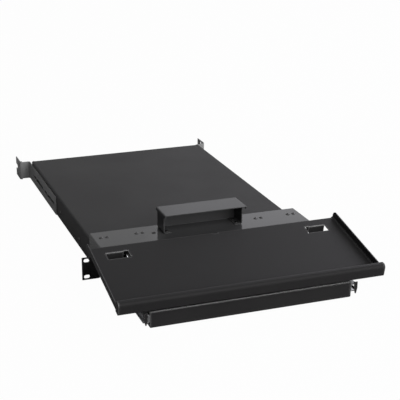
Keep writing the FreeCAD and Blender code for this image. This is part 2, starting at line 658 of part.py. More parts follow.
def release_lever():
    """Right release lever: a narrow arm inside the inner slide, with a tapered finger tab in front."""
    x0 = pan_half + SLIDE_SHEET + 3
    x1 = x0 + LEVER_SHEET
    pivot = inner_front + LEVER_PIVOT_Y
    tab_y = inner_front - LEVER_TAB_GAP
    arm = block(x0, x1, tab_y, pivot + LEVER_TAIL, SLIDE_Z - LEVER_ARM_HALF, SLIDE_Z + LEVER_ARM_HALF)
    tip = LEVER_TAB_WIDTH * 0.35
    top, low = SLIDE_Z + LEVER_TAB_UP, SLIDE_Z - LEVER_TAB_DOWN
    outline = [(0, top), (LEVER_TAB_WIDTH, top), (LEVER_TAB_WIDTH, SLIDE_Z), (LEVER_TAB_WIDTH - tip, low),
               (tip, low), (0, SLIDE_Z), (0, top)]
    corners = [V(x0 + x, tab_y, z) for x, z in outline]
    tab = Part.Face(Part.makePolygon(corners)).extrude(V(0, -LEVER_SHEET, 0))
    hole = rod(LEVER_PIN_RADIUS + RUNNING_CLEARANCE, (x0 - 1, pivot, SLIDE_Z), (1, 0, 0), LEVER_SHEET + 2)
    return fused(arm, tab).cut(hole)


def lever_pin():
    """Right pivot pin of the release lever, riveted through the pan wall and the inner slide."""
    x0 = pan_half - PAN_SHEET
    x1 = pan_half + SLIDE_SHEET + 3 + LEVER_SHEET + SIDE_CLEARANCE
    pivot = inner_front + LEVER_PIVOT_Y
    shank = rod(LEVER_PIN_RADIUS, (x0, pivot, SLIDE_Z), (1, 0, 0), x1 - x0)
    inside = rod(2 * LEVER_PIN_RADIUS, (x0 - 1, pivot, SLIDE_Z), (1, 0, 0), 1)
    outside = rod(LEVER_PIN_RADIUS * 1.6, (x1, pivot, SLIDE_Z), (1, 0, 0), 0.8)
    return fused(shank, inside, outside)


def both(make):
    """A piece and its mirror image, as right and left."""
    right = make()
    return {"right": right, "left": mirrored(right)}


def save_both(name, make):
    """Write the right and the left piece, each in its own node."""
    for side, shape in both(make).items():
        save(name + "_" + side, shape)


def save_cage(name, make, y0):
    """Write a ball retainer and its balls on each side."""
    solids = make(y0)
    save(name + "_right", *solids)
    save(name + "_left", *[mirrored(s) for s in solids])


def screw_sets():
    """Write the screws, one node for each kind of place."""
    slide, ear, rear = wall_screws()
    sets = {
        "slide_screws": [screw(s, (1, 0, 0), CHASSIS_SHEET + SLIDE_SHEET) for s in slide],
        "front_ear_screws": [screw(s, (1, 0, 0), plate_half - wall_inner) for s in ear],
        "rear_bracket_screws": [screw(s, (1, 0, 0), ear_outer - wall_inner) for s in rear],
    }
    for name, solids in sets.items():
        save(name, *solids, *[mirrored(s) for s in solids])
    grip = PLATE_SHEET + CHASSIS_SHEET
    plate = [screw((x, y, plate_top), (0, 0, 1), grip) for x, y in plate_screw_places()]
    save("raised_plate_screws", *plate)
    grip = HOOD_SHEET + PLATE_SHEET
    seat_z = plate_top + HOOD_SHEET
    save("hood_screws", *[screw((x, y, seat_z), (0, 0, 1), grip) for x, y in hood_screw_places()])
    grip = ARM_SHEET + PAN_SHEET
    seat_z = pan_floor_top + ARM_SHEET
    arm = [screw((x, y, seat_z), (0, 0, 1), grip, ARM_SCREW_HEAD) for x, y in arm_screw_places()]
    save("tilt_arm_screws", *arm, *[mirrored(s) for s in arm])


def main():
    save("chassis_deck", chassis())
    save("raised_plate", raised_plate())
    save("cable_hood", hood())
    save_both("front_ear", front_ear)
    save_both("rear_bracket", rear_bracket)
    for place, x in zip(("inner", "outer"), spacer_places):
        save_both("plate_spacer_" + place, lambda at=x: spacer(at))
    save_both("slide_outer", slide_outer)
    save_both("slide_middle", slide_middle)
    save_both("slide_inner", slide_inner)
    save_cage("ball_cage_outer", lambda y0: ball_cage(middle_web, middle_half, y0), OUTER_CAGE_FRONT)
    save_cage("ball_cage_inner", inner_cage, INNER_CAGE_FRONT)
    save("drawer_pan", drawer_pan())
    save("keyboard_tray", keyboard_tray())
    save_both("tilt_arm", tilt_arm)
    save_both("pivot_pin", pivot_pin)
    save("tray_bumpers", bumper(BUMPER_X), bumper(-BUMPER_X))
    save_both("release_lever", release_lever)
    save_both("lever_pin", lever_pin)
    screw_sets()


main()
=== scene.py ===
"""Looks of a rack keyboard shelf: coats, zinc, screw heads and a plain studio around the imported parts."""

import json
import math

import bmesh
import bpy
from bpy.props import FloatProperty, FloatVectorProperty, PointerProperty
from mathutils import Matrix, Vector


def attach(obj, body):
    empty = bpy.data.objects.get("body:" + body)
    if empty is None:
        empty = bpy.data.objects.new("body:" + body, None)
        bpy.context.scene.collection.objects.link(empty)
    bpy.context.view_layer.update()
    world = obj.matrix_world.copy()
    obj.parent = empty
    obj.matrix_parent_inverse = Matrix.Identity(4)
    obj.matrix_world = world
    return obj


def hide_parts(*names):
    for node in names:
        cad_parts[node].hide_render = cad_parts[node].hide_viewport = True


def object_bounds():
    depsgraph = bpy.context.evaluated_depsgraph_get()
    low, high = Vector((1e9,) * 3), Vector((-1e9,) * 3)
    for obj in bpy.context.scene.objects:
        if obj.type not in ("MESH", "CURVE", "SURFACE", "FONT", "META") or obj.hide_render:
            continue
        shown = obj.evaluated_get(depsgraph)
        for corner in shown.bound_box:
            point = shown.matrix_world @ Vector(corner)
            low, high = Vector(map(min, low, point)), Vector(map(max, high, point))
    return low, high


bl_info = {
    "name": "Rack keyboard shelf",
    "version": (1, 0, 0),
    "blender": (4, 5, 0),
    "location": "View3D > Sidebar > Shelf",
    "description": "Finishes a rack keyboard shelf and sets up its studio",
    "category": "Object",
}

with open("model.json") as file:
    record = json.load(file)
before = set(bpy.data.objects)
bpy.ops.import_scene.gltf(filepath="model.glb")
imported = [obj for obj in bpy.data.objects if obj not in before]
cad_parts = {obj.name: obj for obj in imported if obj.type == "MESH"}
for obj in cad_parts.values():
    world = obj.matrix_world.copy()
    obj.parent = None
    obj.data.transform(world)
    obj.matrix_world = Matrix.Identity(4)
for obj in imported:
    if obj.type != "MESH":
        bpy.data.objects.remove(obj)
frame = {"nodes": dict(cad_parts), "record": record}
cad_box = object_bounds()

SIDES = ("left", "right")
BLACK_SHEETS = ["chassis_deck", "drawer_pan", "keyboard_tray"] + [
    f"{name}_{side}" for name in ("front_ear", "tilt_arm", "release_lever") for side in SIDES
]
# Sheets whose edges facing the lamps get a painted highlight on top of their wear
HIGHLIGHTED_SHEETS = ("drawer_pan", "keyboard_tray")
GREY_SHEETS = ["raised_plate", "cable_hood"] + [
    f"{name}_{side}"
    for name in ("rear_bracket", "plate_spacer_inner", "plate_spacer_outer")
    for side in SIDES
]
ZINC_PARTS = [
    f"{name}_{side}"
    for name in ("slide_outer", "slide_middle", "slide_inner", "pivot_pin", "lever_pin")
    for side in SIDES
]
CAGES = [f"ball_cage_{place}_{side}" for place in ("outer", "inner") for side in SIDES]
SCREW_SETS = (
    "slide_screws",
    "front_ear_screws",
    "rear_bracket_screws",
    "raised_plate_screws",
    "hood_screws",
    "tilt_arm_screws",
)

# How strongly the grain of each coat shows, and how high it stands
MATT_GRAIN = 0.22
SATIN_GRAIN = 0.06
GLOSS_GRAIN = 0.04
GRAIN_HEIGHT = 0.0002

# Least and most lightening along the edges: wear patches that also paint highlight lines, strongest on the
# tray and drawer
EDGE_WEAR_AND_HIGHLIGHT = (0.15, 0.8)
WEAR_AND_HIGHLIGHT = (0.7, 1)
FAINT_WEAR = (0, 0.25)

# How far a rounded edge turns, as a cosine, where the wear begins and where it is full
WEAR_TURN = (0.98, 0.7)
WEAR_SAMPLES = 6

# Painted highlight: edges that turn this way, up and to the front where the lamps fall, are lightened
# furthest
LIT_SIDE = (-0.25, -0.75, 0.6)
LIT_REACH = (0.72, 0.9)
AWAY_FROM_LAMPS_SHARE = 0.2

# Textures, in noise cells to the metre
COAT_CLOUDS = 9
WEAR_PATCHES = 60
PLATING_CLOUDS = 40
PLATING_LINES = 1400
RUBBER_BLOOM = 300

# How far the clouds swing a coat's colour and its roughness
COAT_SWING = 0.18
SHEEN_SWING = 0.15

# Plating: how far its colour and roughness change, and its fine lines along Y
PLATING_SWING = 0.1
SMOOTHER = 0.06
ROUGHER = 0.1
LINE_STRETCH = (1, 0.02, 1)
LINE_STRENGTH = 0.1
LINE_HEIGHT = 0.0001
ZINC_ROUGHNESS = 0.3
RETAINER_ROUGHNESS = 0.38
SCREW_ROUGHNESS = 0.35

# Rubber: how far its colour changes, and its least and most roughness
RUBBER_SWING = 0.3
RUBBER_ROUGHNESS = (0.7, 0.9)

# Faces of a screw's head and shank. The rings are odd, so none lies in the plane of the cut.
HEAD_SIDES = 28
HEAD_RINGS = 13
SHANK_SIDES = 16

# Fewer faces than this mean that a set has no screws
LEAST_FACES = 50

# Length of the recess in head radii, and the depth of its second arm as a share of the first
RECESS_LENGTH = 1.25
SECOND_ARM = 0.96

# Copies of nodes: merging distance, angle of faces that count as one, angle of edges that are eased
MERGE_DISTANCE = 2e-6
FLAT_ANGLE = math.radians(0.6)
SHARP_ANGLE = math.radians(40)

# Light panels: place, then width and height, all facing one point
LIGHT_AIM = (0, 0.2, 0.03)
KEY_PANEL = ((0.6, -2.2, 1.7), (2.2, 2.2))
BACK_PANEL = ((2.1, 3, 1.1), (2.4, 1.4))
FILL_PANEL = ((1.8, -2.3, 0.9), (5, 1.8))
RIGHT_PANEL = ((2.1, 1.5, 1.8), (1.5, 1.5))
WHITE = (1, 1, 1)

# The floor, and how much of it is seen as plain white by the camera and in reflections
FLOOR_REACH = 6
FLOOR_GAP = 0.001
FLOOR_COLOUR = (0.35, 0.35, 0.35, 1)
FLOOR_ROUGHNESS = 0.9
FLOOR_SEEN = 0.98
FLOOR_MIRRORED = 0.1

SENSOR_WIDTH = 36


class CoatSettings(bpy.types.PropertyGroup):
    """Colours and texture of the painted sheets."""

    black: FloatVectorProperty(
        name="Black coat", description="Colour of the deck, drawer, tray and small black sheets",
        subtype="COLOR", size=4, min=0, max=1, default=(0.02, 0.0195, 0.02, 1))
    grey: FloatVectorProperty(
        name="Grey coat", description="Colour of the raised plate and its spacers",
        subtype="COLOR", size=4, min=0, max=1, default=(0.055, 0.055, 0.0565, 1))
    hood: FloatVectorProperty(
        name="Hood coat", description="Colour of the cable hood",
        subtype="COLOR", size=4, min=0, max=1, default=(0.058, 0.058, 0.0595, 1))
    bracket: FloatVectorProperty(
        name="Bracket coat", description="Colour of the rear brackets",
        subtype="COLOR", size=4, min=0, max=1, default=(0.29, 0.29, 0.29, 1))
    # Colour of worn edges, also used as the painted highlight along lit edges
    wear: FloatVectorProperty(
        name="Worn and highlit edge", description="Colour that shows through along the edges",
        subtype="COLOR", size=4, min=0, max=1, default=(0.5, 0.5, 0.5, 1))
    # Widened so that the lighter edges also show as painted highlight lines
    wear_and_highlight_width: FloatProperty(
        name="Wear and highlight width", description="How far the wear reaches from an edge",
        subtype="DISTANCE", unit="LENGTH", default=0.0015)
    # Painted highlight: how far the lightened edges reach on the tray and the drawer, where they face the
    # lamps
    highlighted_width: FloatProperty(
        name="Tray and drawer wear and highlight width", description="How far the wear reaches on the tray and the drawer",
        subtype="DISTANCE", unit="LENGTH", default=0.0046)
    black_roughness: FloatProperty(
        name="Black roughness", description="Mean roughness of the matt black coat",
        subtype="FACTOR", min=0, max=1, default=0.5)
    black_shine: FloatProperty(
        name="Black shine", description="Specular level of the matt black coat",
        subtype="FACTOR", min=0, max=1, default=0.055)
    grey_roughness: FloatProperty(
        name="Grey roughness", description="Mean roughness of the glossy raised plate",
        subtype="FACTOR", min=0, max=1, default=0.16)
    grey_shine: FloatProperty(
        name="Grey shine", description="Specular level of the glossy raised plate",
        subtype="FACTOR", min=0, max=1, default=0.108)
    hood_roughness: FloatProperty(
        name="Hood roughness", description="Mean roughness of the satin hood",
        subtype="FACTOR", min=0, max=1, default=0.22)
    hood_shine: FloatProperty(
        name="Hood shine", description="Specular level of the satin hood",
        subtype="FACTOR", min=0, max=1, default=0.062)
    grain: FloatProperty(
        name="Grain size", description="Distance between the coat's bumps",
        subtype="DISTANCE", unit="LENGTH", default=0.0011)
    ease: FloatProperty(
        name="Edge easing", description="Width of the eased sheet edges",
        subtype="DISTANCE", unit="LENGTH", default=0.0003)


class HardwareSettings(bpy.types.PropertyGroup):
    """Plated metal, screws and rubber."""

    zinc: FloatVectorProperty(
        name="Zinc", description="Colour of the plated slides", subtype="COLOR", size=4, min=0, max=1,
        default=(0.5, 0.505, 0.515, 1))
    screw: FloatVectorProperty(
        name="Screw", description="Colour of the dark screws", subtype="COLOR", size=4, min=0, max=1,
        default=(0.045, 0.044, 0.044, 1))
    rubber: FloatVectorProperty(
        name="Rubber", description="Colour of the tray rests", subtype="COLOR", size=4, min=0, max=1,
        default=(0.018, 0.018, 0.018, 1))
    cage_ease: FloatProperty(
        name="Retainer easing", description="Width of the eased edges of the ball retainers",
        subtype="DISTANCE", unit="LENGTH", default=0.0001)
    recess_width: FloatProperty(
        name="Recess width", description="Width of the cross recess in a screw head",
        subtype="DISTANCE", unit="LENGTH", default=0.0009)
    recess_depth: FloatProperty(
        name="Recess depth", description="Depth of the cross recess in a screw head",
        subtype="DISTANCE", unit="LENGTH", default=0.0008)
    head_height: FloatProperty(
        name="Head height", description="Height of a domed screw head",
        subtype="DISTANCE", unit="LENGTH", default=0.0018)
    shank_radius: FloatProperty(
        name="Shank radius", description="Radius of a screw's shank",
        subtype="DISTANCE", unit="LENGTH", default=0.002)
    rest_ease: FloatProperty(
        name="Rest easing", description="Width of the eased edges of the rubber rests",
        subtype="DISTANCE", unit="LENGTH", default=0.0006)


class StudioSettings(bpy.types.PropertyGroup):
    """Camera and light of the studio."""

    target: FloatVectorProperty(
        name="Target", description="Point that the camera is set up on", subtype="TRANSLATION", size=3,
        default=(0, 0.15318, 0.02774))
    distance: FloatProperty(
        name="Distance", description="Distance of the camera from its target",
        subtype="DISTANCE", unit="LENGTH", default=2.1183)
    azimuth: FloatProperty(
        name="Azimuth", description="Turn of the camera to the right of the front", subtype="ANGLE",
        default=math.radians(-19.45))
    elevation: FloatProperty(
        name="Elevation", description="Height angle of the camera", subtype="ANGLE",
        default=math.radians(20.21))
    lens: FloatProperty(name="Lens", description="Focal length in millimetres", default=94.45)
    shift_x: FloatProperty(name="Shift X", description="Sideways shift of the picture", default=0.0534)
    shift_y: FloatProperty(name="Shift Y", description="Upward shift of the picture", default=0.031)
    key_power: FloatProperty(
        name="Key light", description="Power of the soft light above the front", unit="POWER", default=56)
    back_power: FloatProperty(
        name="Back light", description="Power of the wide light behind", unit="POWER", default=7)
    fill_power: FloatProperty(
        name="Fill light", description="Power of the soft light in front", unit="POWER", default=54)
    right_power: FloatProperty(
        name="Right light", description="Power of the soft light at the right", unit="POWER", default=28)
    cool_light: FloatVectorProperty(
        name="Cool light", description="Colour of the lights behind and at the right",
        subtype="COLOR", size=3, min=0, max=1, default=(0.92, 0.91, 1))
    sky: FloatProperty(name="Sky light", description="Strength of the even light all round", default=0.09)


def body_of(node):
    """The moving body that carries a node."""
    for body, nodes in frame["record"]["behaviour"]["bodies"].items():
        if node in nodes:
            return body
    raise RuntimeError("no body carries " + node)


def new_material(name):
    """An empty node material with its shader."""
    material = bpy.data.materials.new(name)
    material.use_nodes = True
    nodes = material.node_tree.nodes
    return material, nodes, material.node_tree.links, nodes["Principled BSDF"]


def spread(nodes, links, source, low, high):
    """A number that follows a 0 to 1 texture between two values."""
    remap = nodes.new("ShaderNodeMapRange")
    remap.inputs["To Min"].default_value = low
    remap.inputs["To Max"].default_value = high
    links.new(source, remap.inputs["Value"])
    return remap.outputs["Result"]


def noise(nodes, links, coordinates, scale, detail=2.0):
    """A noise texture on the object's own coordinates."""
    texture = nodes.new("ShaderNodeTexNoise")
    texture.inputs["Scale"].default_value = scale
    texture.inputs["Detail"].default_value = detail
    links.new(coordinates, texture.inputs["Vector"])
    return texture.outputs["Fac"]


def tinted(nodes, links, source, colour, swing):
    """A colour that grows lighter and darker with a texture."""
    ramp = nodes.new("ShaderNodeMix")
    ramp.data_type = "RGBA"
    ramp.inputs["A"].default_value = [c * (1 - swing) for c in colour[:3]] + [1]
    ramp.inputs["B"].default_value = [min(1, c * (1 + swing)) for c in colour[:3]] + [1]
    links.new(source, ramp.inputs["Factor"])
    return ramp.outputs["Result"]


def times(nodes, links, first, second):
    """The product of two numbers."""
    product = nodes.new("ShaderNodeMath")
    product.operation = "MULTIPLY"
    links.new(first, product.inputs[0])
    links.new(second, product.inputs[1])
    return product.outputs["Value"]


def worn_and_highlit_edges(nodes, links, where, width, patchiness):
    """A mask that is patchy along the edges and 0 on the flats, and the rounded normal behind it; the
    lightened edges are partly wear and partly painted highlight lines.
    """
    rounded = nodes.new("ShaderNodeBevel")
    rounded.samples = WEAR_SAMPLES
    rounded.inputs["Radius"].default_value = width
    flat = nodes.new("ShaderNodeNewGeometry")
    turned = nodes.new("ShaderNodeVectorMath")
    turned.operation = "DOT_PRODUCT"
    links.new(rounded.outputs["Normal"], turned.inputs[0])
    links.new(flat.outputs["Normal"], turned.inputs[1])
    edge = nodes.new("ShaderNodeMapRange")
    edge.inputs["From Min"].default_value = WEAR_TURN[0]
    edge.inputs["From Max"].default_value = WEAR_TURN[1]
    links.new(turned.outputs["Value"], edge.inputs["Value"])
    patches = spread(nodes, links, noise(nodes, links, where, WEAR_PATCHES, 3), *patchiness)
    return times(nodes, links, edge.outputs["Result"], patches), rounded.outputs["Normal"]


def towards_the_lamps(nodes, links, normal):
    """Painted highlight: a mask that is 1 where a surface turns up and to the front, towards the lamps, and
    low elsewhere.
    """
    facing = nodes.new("ShaderNodeVectorMath")
    facing.operation = "DOT_PRODUCT"
    links.new(normal, facing.inputs[0])
    facing.inputs[1].default_value = LIT_SIDE
    share = nodes.new("ShaderNodeMapRange")
    share.inputs["From Min"].default_value = LIT_REACH[0]
    share.inputs["From Max"].default_value = LIT_REACH[1]
    share.inputs["To Min"].default_value = AWAY_FROM_LAMPS_SHARE
    links.new(facing.outputs["Value"], share.inputs["Value"])
    return share.outputs["Result"]


def powder_coat(name, colour, roughness, shine, texture, settings, patchiness, highlighted=False):
    """Powder coat with a fine grain, slow changes of colour and gloss, and lighter edges that are partly
    wear and partly painted highlight lines.

    On a highlighted piece the lighter edges reach further in, and are lightest along the edges that face up
    and to the front: a painted highlight over the wear.
    """
    material, nodes, links, shader = new_material(name)
    where = nodes.new("ShaderNodeTexCoord").outputs["Object"]
    grain = noise(nodes, links, where, 1 / settings.grain, 3)
    clouds = noise(nodes, links, where, COAT_CLOUDS, 4)
    # Mixes the edge colour in: partly wear, partly painted highlight lines
    worn = nodes.new("ShaderNodeMix")
    worn.data_type = "RGBA"
    worn.inputs["B"].default_value = settings.wear
    reach = settings.highlighted_width if highlighted else settings.wear_and_highlight_width
    mask, rounded = worn_and_highlit_edges(nodes, links, where, reach, patchiness)
    # Painted highlight: on the tray and drawer, edges facing up and to the front are lightened most
    if highlighted:
        mask = times(nodes, links, mask, towards_the_lamps(nodes, links, rounded))
    links.new(mask, worn.inputs["Factor"])
    links.new(tinted(nodes, links, clouds, colour, COAT_SWING), worn.inputs["A"])
    links.new(worn.outputs["Result"], shader.inputs["Base Color"])
    swing = roughness * SHEEN_SWING
    links.new(spread(nodes, links, clouds, roughness - swing, roughness + swing), shader.inputs["Roughness"])
    shader.inputs["Specular IOR Level"].default_value = shine
    bump = nodes.new("ShaderNodeBump")
    bump.inputs["Strength"].default_value = texture
    bump.inputs["Distance"].default_value = GRAIN_HEIGHT
    links.new(grain, bump.inputs["Height"])
    links.new(bump.outputs["Normal"], shader.inputs["Normal"])
    return material


def plated_steel(name, colour, roughness):
    """Bright plated steel with fine lines along its length."""
    material, nodes, links, shader = new_material(name)
    where = nodes.new("ShaderNodeTexCoord").outputs["Object"]
    stretch = nodes.new("ShaderNodeMapping")
    stretch.inputs["Scale"].default_value = LINE_STRETCH
    links.new(where, stretch.inputs["Vector"])
    lines = noise(nodes, links, stretch.outputs["Vector"], PLATING_LINES, 3)
    clouds = noise(nodes, links, where, PLATING_CLOUDS, 3)
    links.new(tinted(nodes, links, clouds, colour, PLATING_SWING), shader.inputs["Base Color"])
    sheen = spread(nodes, links, lines, roughness - SMOOTHER, roughness + ROUGHER)
    links.new(sheen, shader.inputs["Roughness"])
    shader.inputs["Metallic"].default_value = 1
    bump = nodes.new("ShaderNodeBump")
    bump.inputs["Strength"].default_value = LINE_STRENGTH
    bump.inputs["Distance"].default_value = LINE_HEIGHT
    links.new(lines, bump.inputs["Height"])
    links.new(bump.outputs["Normal"], shader.inputs["Normal"])
    return material


def moulded_rubber(name, colour):
    """Matt rubber with a faint bloom."""
    material, nodes, links, shader = new_material(name)
    where = nodes.new("ShaderNodeTexCoord").outputs["Object"]
    bloom = noise(nodes, links, where, RUBBER_BLOOM, 4)
    links.new(tinted(nodes, links, bloom, colour, RUBBER_SWING), shader.inputs["Base Color"])
    links.new(spread(nodes, links, bloom, *RUBBER_ROUGHNESS), shader.inputs["Roughness"])
    return material


def dress(piece, material):
    """Give a piece one material all over."""
    piece.data.materials.clear()
    piece.data.materials.append(material)


def finished_mesh(piece):
    """Bake a piece's modifiers into a plain mesh and drop them."""
    bpy.context.view_layer.update()
    evaluated = piece.evaluated_get(bpy.context.evaluated_depsgraph_get())
    mesh = bpy.data.meshes.new_from_object(evaluated)
    piece.modifiers.clear()
    old = piece.data
    piece.data = mesh
    bpy.data.meshes.remove(old)


def eased_copy(node, width):
    """A copy of a node with its doubles merged, its flat faces joined and its sharp edges eased."""
    mesh = frame["nodes"][node].data.copy()
    shape = bmesh.new()
    shape.from_mesh(mesh)
    bmesh.ops.remove_doubles(shape, verts=shape.verts, dist=MERGE_DISTANCE)
    bmesh.ops.dissolve_limit(shape, angle_limit=FLAT_ANGLE, verts=shape.verts, edges=shape.edges)
    for face in shape.faces:
        face.smooth = True
    shape.to_mesh(mesh)
    shape.free()
    piece = bpy.data.objects.new(node + "_eased", mesh)
    bpy.context.collection.objects.link(piece)
    ease = piece.modifiers.new("Ease", "BEVEL")
    ease.width = width
    ease.segments = 2
    ease.limit_method = "ANGLE"
    ease.angle_limit = SHARP_ANGLE
    ease.use_clamp_overlap = True
    piece.modifiers.new("Flats", "WEIGHTED_NORMAL").keep_sharp = True
    finished_mesh(piece)
    return piece


def stand_for(piece, node):
    """Let a piece take the place of a node and move with it."""
    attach(piece, body_of(node))
    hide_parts(node)


class SHELF_OT_black_sheets(bpy.types.Operator):
    """Coat the deck, drawer, tray, front ears, tilt arms and levers black"""

    bl_idname = "shelf.black_sheets"
    bl_label = "Black sheets"

    def execute(self, context):
        coat = context.scene.shelf_coat
        look = (coat.black, coat.black_roughness, coat.black_shine, MATT_GRAIN, coat)
        black = powder_coat("black powder coat", *look, EDGE_WEAR_AND_HIGHLIGHT)
        # The tray and drawer get painted highlight lines along their lit edges as well as wear
        highlighted = powder_coat("handled black coat", *look, WEAR_AND_HIGHLIGHT, highlighted=True)
        for node in BLACK_SHEETS:
            piece = eased_copy(node, coat.ease)
            dress(piece, highlighted if node in HIGHLIGHTED_SHEETS else black)
            stand_for(piece, node)
        return {"FINISHED"}


class SHELF_OT_grey_sheets(bpy.types.Operator):
    """Coat the raised plate, its spacers, the hood and the rear brackets in greys"""

    bl_idname = "shelf.grey_sheets"
    bl_label = "Grey sheets"

    def execute(self, context):
        coat = context.scene.shelf_coat
        gloss_look = (coat.grey, coat.grey_roughness, coat.grey_shine, GLOSS_GRAIN, coat)
        satin_look = (coat.hood, coat.hood_roughness, coat.hood_shine, SATIN_GRAIN, coat)
        light_look = (coat.bracket, coat.black_roughness, coat.black_shine, MATT_GRAIN, coat)
        grey = powder_coat("glossy grey coat", *gloss_look, FAINT_WEAR)
        satin = powder_coat("satin hood coat", *satin_look, FAINT_WEAR)
        light = powder_coat("light bracket coat", *light_look, EDGE_WEAR_AND_HIGHLIGHT)
        finish = {"cable_hood": satin, "rear_bracket_left": light, "rear_bracket_right": light}
        for node in GREY_SHEETS:
            piece = eased_copy(node, coat.ease)
            dress(piece, finish.get(node, grey))
            stand_for(piece, node)
        return {"FINISHED"}


class SHELF_OT_slides(bpy.types.Operator):
    """Plate the slide members, pins and ball retainers"""

    bl_idname = "shelf.slides"
    bl_label = "Slides"

    def execute(self, context):
        hardware = context.scene.shelf_hardware
        zinc = plated_steel("bright zinc", hardware.zinc, ZINC_ROUGHNESS)
        steel = plated_steel("retainer steel", hardware.zinc, RETAINER_ROUGHNESS)
        for node in ZINC_PARTS:
            dress(frame["nodes"][node], zinc)
        for node in CAGES:
            piece = eased_copy(node, hardware.cage_ease)
            dress(piece, steel)
            stand_for(piece, node)
        return {"FINISHED"}


def screw_seats(node):
    """Where each screw of a set stands: the top of its head, the way it faces, its length and radius."""
    shape = bmesh.new()
    shape.from_mesh(frame["nodes"][node].data)
    bmesh.ops.remove_doubles(shape, verts=shape.verts, dist=MERGE_DISTANCE)
    seen = set()
    seats = []
    for start in shape.verts:
        if start in seen:
            continue
        seen.add(start)
        stack = [start]
        one = []
        while stack:
            vert = stack.pop()
            one.append(vert.co.copy())
            for edge in vert.link_edges:
                other = edge.other_vert(vert)
                if other not in seen:
                    seen.add(other)
                    stack.append(other)
        low = Vector([min(c[i] for c in one) for i in range(3)])
        high = Vector([max(c[i] for c in one) for i in range(3)])
        middle = (low + high) / 2
        size = high - low
        upright = size.z < min(size.x, size.y)
        way = Vector((0, 0, 1)) if upright else Vector((math.copysign(1, middle.x), 0, 0))
        length = size.z if upright else size.x
        seats.append((middle + way * length / 2, way, length, max(size) / 2))
    shape.free()
    return seats


def screw_tree(material):
    """Node tree that stands a domed, cross-recessed screw on every point, the way that the point faces."""
    tree = bpy.data.node_groups.new("Screws", "GeometryNodeTree")
    sockets = tree.interface
    sockets.new_socket("Geometry", in_out="INPUT", socket_type="NodeSocketGeometry")
    names = ("Head radius", "Head height", "Recess width", "Recess depth", "Shank radius", "Shank length")
    for name in names:
        sockets.new_socket(name, in_out="INPUT", socket_type="NodeSocketFloat")
    sockets.new_socket("Geometry", in_out="OUTPUT", socket_type="NodeSocketGeometry")
    nodes, links = tree.nodes, tree.links
    given = nodes.new("NodeGroupInput").outputs
    result = nodes.new("NodeGroupOutput")

    def number(kind, a, b):
        node = nodes.new("ShaderNodeMath")
        node.operation = kind
        for socket, value in zip(node.inputs, (a, b)):
            if isinstance(value, (int, float)):
                socket.default_value = value
            else:
                links.new(value, socket)
        return node.outputs[0]

    def vector(x, y, z):
        node = nodes.new("ShaderNodeCombineXYZ")
        for socket, value in zip(node.inputs, (x, y, z)):
            if isinstance(value, (int, float)):
                socket.default_value = value
            else:
                links.new(value, socket)
        return node.outputs[0]

    def moved(geometry, place, scale=None):
        node = nodes.new("GeometryNodeTransform")
        links.new(geometry, node.inputs["Geometry"])
        links.new(place, node.inputs["Translation"])
        if scale is not None:
            links.new(scale, node.inputs["Scale"])
        return node.outputs[0]

    def cube(x, y, z):
        node = nodes.new("GeometryNodeMeshCube")
        links.new(vector(x, y, z), node.inputs["Size"])
        return node.outputs["Mesh"]

    radius, height = given["Head radius"], given["Head height"]
    dome = nodes.new("GeometryNodeMeshUVSphere")
    dome.inputs["Segments"].default_value = HEAD_SIDES
    dome.inputs["Rings"].default_value = HEAD_RINGS
    dome.inputs["Radius"].default_value = 1
    flat = number("MULTIPLY", height, -1)
    dome_mesh = moved(dome.outputs["Mesh"], vector(0, 0, flat), vector(radius, radius, height))
    long = number("MULTIPLY", radius, RECESS_LENGTH)
    wide = number("MULTIPLY", radius, 3)
    depth = number("MULTIPLY", given["Recess depth"], 2)
    shallow = number("MULTIPLY", depth, SECOND_ARM)
    middle = number("SUBTRACT", flat, number("MULTIPLY", wide, 0.5))
    below = moved(cube(wide, wide, wide), vector(0, 0, middle))
    cut = nodes.new("GeometryNodeMeshBoolean")
    cut.operation = "DIFFERENCE"
    cut.solver = "MANIFOLD"
    links.new(dome_mesh, cut.inputs["Mesh 1"])
    links.new(below, cut.inputs["Mesh 2"])
    links.new(cube(long, given["Recess width"], depth), cut.inputs["Mesh 2"])
    links.new(cube(given["Recess width"], long, shallow), cut.inputs["Mesh 2"])
    shank = nodes.new("GeometryNodeMeshCylinder")
    shank.inputs["Vertices"].default_value = SHANK_SIDES
    links.new(given["Shank radius"], shank.inputs["Radius"])
    links.new(given["Shank length"], shank.inputs["Depth"])
    half = number("MULTIPLY", given["Shank length"], 0.5)
    shank_mesh = moved(shank.outputs["Mesh"], vector(0, 0, number("SUBTRACT", flat, half)))
    join = nodes.new("GeometryNodeJoinGeometry")
    links.new(cut.outputs["Mesh"], join.inputs[0])
    links.new(shank_mesh, join.inputs[0])
    facing = nodes.new("GeometryNodeInputNamedAttribute")
    facing.data_type = "FLOAT_VECTOR"
    facing.inputs["Name"].default_value = "facing"
    turn = nodes.new("FunctionNodeAlignRotationToVector")
    turn.axis = "Z"
    links.new(facing.outputs["Attribute"], turn.inputs["Vector"])
    place = nodes.new("GeometryNodeInstanceOnPoints")
    links.new(given["Geometry"], place.inputs["Points"])
    links.new(join.outputs[0], place.inputs["Instance"])
    links.new(turn.outputs["Rotation"], place.inputs["Rotation"])
    real = nodes.new("GeometryNodeRealizeInstances")
    links.new(place.outputs[0], real.inputs[0])
    paint = nodes.new("GeometryNodeSetMaterial")
    paint.inputs["Material"].default_value = material
    links.new(real.outputs[0], paint.inputs["Geometry"])
    links.new(paint.outputs[0], result.inputs[0])
    return tree


